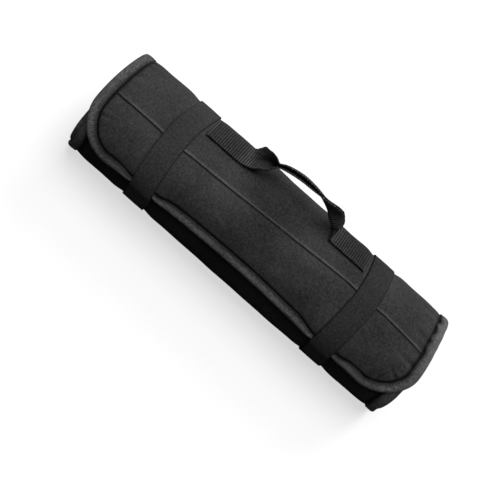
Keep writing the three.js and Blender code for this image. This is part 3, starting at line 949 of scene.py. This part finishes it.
def make_stitch():
    """One stitch: a drawn-out ball, lying along X."""
    deselect_all()
    bpy.ops.mesh.primitive_ico_sphere_add(subdivisions=1, radius=0.5)
    piece = bpy.context.object
    points = np.array([v.co for v in piece.data.vertices]) * (STITCH_LENGTH, STITCH_WIDTH, STITCH_WIDTH)
    faces = np.array([f.vertices for f in piece.data.polygons])
    bpy.data.objects.remove(piece)
    return points, faces


stitch_points, stitch_faces = make_stitch()


def unit(vectors):
    return vectors / np.linalg.norm(vectors, axis=1)[:, None]


def stitch_row(name, place, count, outward=0.0):
    """A row of stitches where place(t, outside) gives points of the seam, t running from 0 to 1."""
    middle = (np.arange(count) + 0.5) / count
    small = 0.2 / count
    centre = place(middle, outward)
    along = unit(place(middle + small, outward) - place(middle - small, outward))
    up = place(middle, outward + 1 * MM) - centre
    side = unit(np.cross(up, along))
    up = np.cross(along, side)
    axes = np.stack([along, side, up], axis=1)
    points = centre[:, None, :] + np.einsum("vk,nkj->nvj", stitch_points, axes)
    faces = stitch_faces[None] + len(stitch_points) * np.arange(count)[:, None, None]
    mesh = bpy.data.meshes.new(name)
    mesh.from_pydata(points.reshape(-1, 3).tolist(), [], faces.reshape(-1, 3).tolist())
    piece = new_object(name, mesh)
    dress(piece, thread_finish, None)
    return piece

# %% Stitches in the tape and the seam
STITCH_INSIDE = 11.0 * MM
STITCH_HEIGHT = 0.93 * TAPE_LEG


def tape_stitches():
    """The part of the edge that shows, from the left side over the flap's end to the right side."""
    walk = edge_walk()
    along = np.arange(len(walk)) * TAPE_STEP
    shown = walk[:, 0] < PERIMETER + 15 * MM
    walk, along = walk[shown], along[shown]

    def place(t, outside):
        at = np.clip(t, 0, 1) * (len(walk) - 1)
        row = np.stack([np.interp(at, np.arange(len(walk)), column) for column in walk.T], axis=-1)
        run = np.interp(at, np.arange(len(walk)), along)
        distance, x = tape_places(row, STITCH_INSIDE, run)
        return rolled(distance, x, STITCH_HEIGHT + TAPE_THICKNESS / 2 + tape_lift(row, run) + outside)

    count = int((along[-1] - along[0]) / STITCH_PITCH)
    return stitch_row("tape_stitches", place, count, TAPE_STITCH_LIFT)


SEAM_STITCH_OFF = 2.0 * MM


def seam_place(t, outside):
    x = (2 * t - 1) * (HALF_LENGTH - BINDING_WIDTH)
    face = puffed(SEAM_THICKNESS, SEAM_RUN, SEAM_STITCH_OFF) / 2
    return rolled(seam_at(x) - SEAM_STITCH_OFF, x, face + outside)


tape_stitches()
seam_count = int(2 * (HALF_LENGTH - BINDING_WIDTH) / STITCH_PITCH)
stitch_row("seam_stitches", seam_place, seam_count, SEAM_STITCH_LIFT)

# %% [markdown]
# The two bands are woven elastic, sewn into loops. They lie in the padding that they press down, and step
# off the flap's thick edge onto the body. A curve with a flat bevel could make them. A grid bent into a ring
# is used because it can ask the same outline as the cloth for every point.

# %% The elastic bands
BAND_ROUND = 260
BAND_ACROSS = 16
BAND_CROWN = 0.25 * MM
# The right band is painted darker all over: painted shade.
RIGHT_BAND_PAINTED_SHADE = 0.22


def band_heights(distance):
    landing = PERIMETER - 2 * BAND_GAP
    y, z, ny, nz = outline_frame(distance)
    under = LAYER_PITCH * layers_over(distance)
    on_step = smooth(landing - BAND_STEP, landing, distance)
    return y, z, ny, nz, BAND_GAP - band_depth(nz) - under * (1 - on_step) + BAND_THICKNESS / 2


def make_band(name, side):
    piece, i, j = flat_grid(name, BAND_ROUND, BAND_ACROSS)
    distance = i / BAND_ROUND * PERIMETER
    half = BAND_WIDTH / 2
    across = spread(BAND_ACROSS, -half, half, lambda a: 1 + 5 * near(np.abs(a) - half, 2 * MM))[j]
    y, z, ny, nz, height = band_heights(distance)
    x = band_middle(distance, side) + across
    crown = BAND_CROWN * np.cos(np.pi * across / BAND_WIDTH)
    points = np.stack([x, y + ny * (height + crown), z + nz * (height + crown)], axis=-1)
    set_points(piece, points)
    set_cut(piece, across, distance)
    # A painted shadow line along each edge, darker on the edge that faces the roll's middle.
    edge_shading = 0.6 * near(side * across - half, 0.9 * MM) + 0.9 * near(side * across + half, 1.1 * MM)
    painted_foot_light = 0.5 * near(distance - PERIMETER + 16 * MM, 14 * MM)  # painted highlight on the band's foot below the flap
    set_wear_and_shading(piece, painted_foot_light - edge_shading - (RIGHT_BAND_PAINTED_SHADE if side > 0 else 0))
    weld(piece)
    thicken(piece, BAND_THICKNESS)
    return piece


left_band = make_band("band_left_loop", -1)
dress(left_band, band_cloth, "elastic", "band_left")
right_band = make_band("band_right_loop", 1)
dress(right_band, band_cloth, "elastic", "band_right")


def band_stitches(name, side):
    """A row beside the band's edge that faces the roll's middle."""
    def place(t, outside):
        distance = t * (PERIMETER - 14 * MM)
        y, z, ny, nz, height = band_heights(distance)
        out = height + BAND_THICKNESS / 2 + outside
        x = band_middle(distance, side) - side * (BAND_WIDTH / 2 - 0.9 * MM)
        return np.stack([x, y + ny * out, z + nz * out], axis=-1)

    return stitch_row(name, place, int(PERIMETER / STITCH_PITCH))


band_stitches("band_left_stitches", -1)
band_stitches("band_right_stitches", 1)

# %% [markdown]
# The handle is one length of webbing. Its ends lie flat on the roll and are sewn down. Between them it rises,
# folds in half lengthwise and leans over. A curve with a bevel could carry it, but its section changes from
# flat to folded. So short tables say, place by place, how high, how folded and how turned it is.

# %% The carry handle
WEBBING_THICKNESS = 1.7 * MM
HANDLE_LENGTH = 235 * MM
HANDLE_SHIFT = -2.5 * MM
HANDLE_RISE = 23 * MM
HANDLE_SKEW = 2.4 * MM  # how much nearer to the front the left end is sewn
HANDLE_GAP = 0.4 * MM
SEAT_HEIGHT = PANEL_THICKNESS / 2 + HANDLE_GAP + WEBBING_THICKNESS / 2
CREASE_HALF = 2.6 * MM
FOLDED_ANGLE = 86  # degrees that each half turns up
RIB_FULLNESS = 0.7
HANDLE_STATIONS, HANDLE_LANES = 480, 20
HANDLE_PLACE = [-1, -0.67, -0.6, -0.535, -0.47, -0.405, -0.345, -0.29, -0.2, -0.04]
HANDLE_PLACE += [0.1, 0.2, 0.27, 0.33, 0.39, 0.45, 0.52, 0.585, 0.65, 1]
HANDLE_UP = [0, 0, 0.02, 0.06, 0.16, 0.42, 0.62, 0.75, 1.02, 1.22]
HANDLE_UP += [1.2, 1.1, 0.94, 0.74, 0.46, 0.22, 0.06, 0.01, 0, 0]
HANDLE_FOLD = [0, 0, 0.05, 0.15, 0.44, 0.62, 0.76, 1, 1, 1]
HANDLE_FOLD += [1.03, 1.07, 1.07, 1.06, 1, 0.88, 0.52, 0.13, 0, 0]
HANDLE_TURN = [0, 0, 6, 15, 41, 54, 63, 60, 63, 65]
HANDLE_TURN += [63, 56, 40, 16, -12, -20, -14, -3, 0, 0]


def folded_webbing(across, fold):
    """The webbing's section, flat or folded about a rounded crease with both edges up."""
    bend = np.maximum(fold * np.radians(FOLDED_ANGLE), 1e-3)
    radius = CREASE_HALF / bend
    width = np.abs(across)
    in_crease = np.minimum(width, CREASE_HALF)
    angle = bend * in_crease / CREASE_HALF
    straight = width - in_crease
    sideways = np.sign(across) * (radius * np.sin(angle) + straight * np.cos(angle))
    return sideways, radius * (1 - np.cos(angle)) + straight * np.sin(angle)


def rotate_about(vectors, axes, angles):
    cos, sin = np.cos(angles)[:, None], np.sin(angles)[:, None]
    dot = np.sum(vectors * axes, axis=1)[:, None]
    return vectors * cos + np.cross(axes, vectors) * sin + axes * dot * (1 - cos)


def seat_line(at):
    """Where round the roll the webbing's middle is sewn. Its left end is at -1 and its right end at 1."""
    return SEAT - HANDLE_SKEW * smooth(-0.3, -0.7, at)


seat_y, seat_z = outline_frame(SEAT)[2:]
seat_up = np.array([0, seat_y, seat_z])
seat_back = np.array([0, seat_z, -seat_y])


def handle_middle(at):
    """The webbing's middle line, which rises off the roll between its sewn ends."""
    on_panel = rolled(seat_line(at), HANDLE_SHIFT + at * HANDLE_LENGTH / 2, SEAT_HEIGHT)
    return on_panel + through(HANDLE_PLACE, HANDLE_UP, at)[:, None] * HANDLE_RISE * seat_up


def handle_directions(place):
    """The directions across the webbing and out of it."""
    small = 0.01
    ahead, behind = np.minimum(place + small, 1), np.maximum(place - small, -1)
    along = unit(handle_middle(ahead) - handle_middle(behind))
    upright = smooth(-0.15, -0.32, place)[:, None]  # sections in the left hump don't lean
    along = unit(along * (1 - upright) + np.array([1, 0, 0]) * upright)
    turn = np.radians(through(HANDLE_PLACE, HANDLE_TURN, place))
    wide = rotate_about(np.tile(seat_back, (len(place), 1)), along, turn)
    return wide, -np.cross(wide, along)


def handle_wear_and_shading(place, across, from_end):
    """The cut ends are light. The free part is painted lighter where it faces the light. Away from the grip a
    strip inside each edge is lighter and the very edge has a painted shadow line.
    """
    from_side = WEBBING_WIDTH / 2 - np.abs(across)
    # Painted shade: a dark line at the very edge, with a lighter strip just inside it.
    edge_shading = 0.5 * near(from_side, 2.6 * MM) - 1.4 * near(from_side, 0.9 * MM)
    free_part_light = smooth(0.68, 0.5, np.abs(place))  # painted highlight: the free part, facing the light, is made lighter
    edge_shading = edge_shading * smooth(0.22, 0.4, np.abs(place))
    return near(from_end, 1.6 * MM) + edge_shading + 0.75 * free_part_light - 0.25


def make_handle():
    piece, i, j = flat_grid("webbing_handle", HANDLE_STATIONS, HANDLE_LANES)
    place = 2 * i / HANDLE_STATIONS - 1
    across = (j / HANDLE_LANES - 0.5) * WEBBING_WIDTH
    wide, high = handle_directions(place)
    sideways, rise = folded_webbing(across, through(HANDLE_PLACE, HANDLE_FOLD, place))
    free = handle_middle(place) + sideways[:, None] * wide + rise[:, None] * high
    flat = rolled(seat_line(place) + across, HANDLE_SHIFT + place * HANDLE_LENGTH / 2, SEAT_HEIGHT)
    lifted = smooth(0, 0.12, through(HANDLE_PLACE, HANDLE_UP, place))[:, None]
    set_points(piece, flat * (1 - lifted) + free * lifted)
    steps = np.diff(handle_middle(np.linspace(-1, 1, HANDLE_STATIONS + 1)), axis=0)
    lengths = np.concatenate([[0], np.cumsum(np.linalg.norm(steps, axis=1))])
    run = lengths[i]
    set_cut(piece, run, across)
    from_end = np.minimum(run, lengths[-1] - run)
    set_wear_and_shading(piece, handle_wear_and_shading(place, across, from_end))
    rib = np.abs(np.sin(np.pi * run / RIB_PITCH)) ** RIB_FULLNESS
    thicken(piece, WEBBING_THICKNESS, 0.5 + 0.5 * rib * smooth(0, 1.5 * MM, from_end), levels=0)
    return piece, lengths[-1]


handle, handle_cut = make_handle()
dress(handle, webbing_cloth, "webbing", "carry_handle")

# %% The handle's sewn ends
BOX_INSIDE = 4.5 * MM
BOX_LENGTH = 31 * MM


def box_stitches(name, side):
    """A box with a cross in it, sewn through the webbing's end."""
    outer = HANDLE_LENGTH / 2 - BOX_INSIDE
    inner = outer - BOX_LENGTH
    half = WEBBING_WIDTH / 2 - BOX_INSIDE
    corners = [(outer, -half), (outer, half), (inner, half), (inner, -half), (outer, -half), (inner, half)]
    corners += [(inner, -half), (outer, half)]
    route = np.array(corners)
    steps = np.concatenate([[0], np.cumsum(np.hypot(*np.diff(route, axis=0).T))])

    def place(t, outside):
        at = np.clip(t, 0, 1) * steps[-1]
        x = HANDLE_SHIFT + side * np.interp(at, steps, route[:, 0])
        across = np.interp(at, steps, route[:, 1])
        top = PANEL_THICKNESS / 2 + HANDLE_GAP + WEBBING_THICKNESS * 0.9
        lower = HANDLE_SKEW if side < 0 else 0
        return rolled(SEAT - lower + across, x, top + outside)

    return stitch_row(name, place, int(steps[-1] / STITCH_PITCH))


box_stitches("handle_left_stitches", -1)
box_stitches("handle_right_stitches", 1)
print(f"the handle's webbing is {handle_cut * 1000:.0f} mm long")
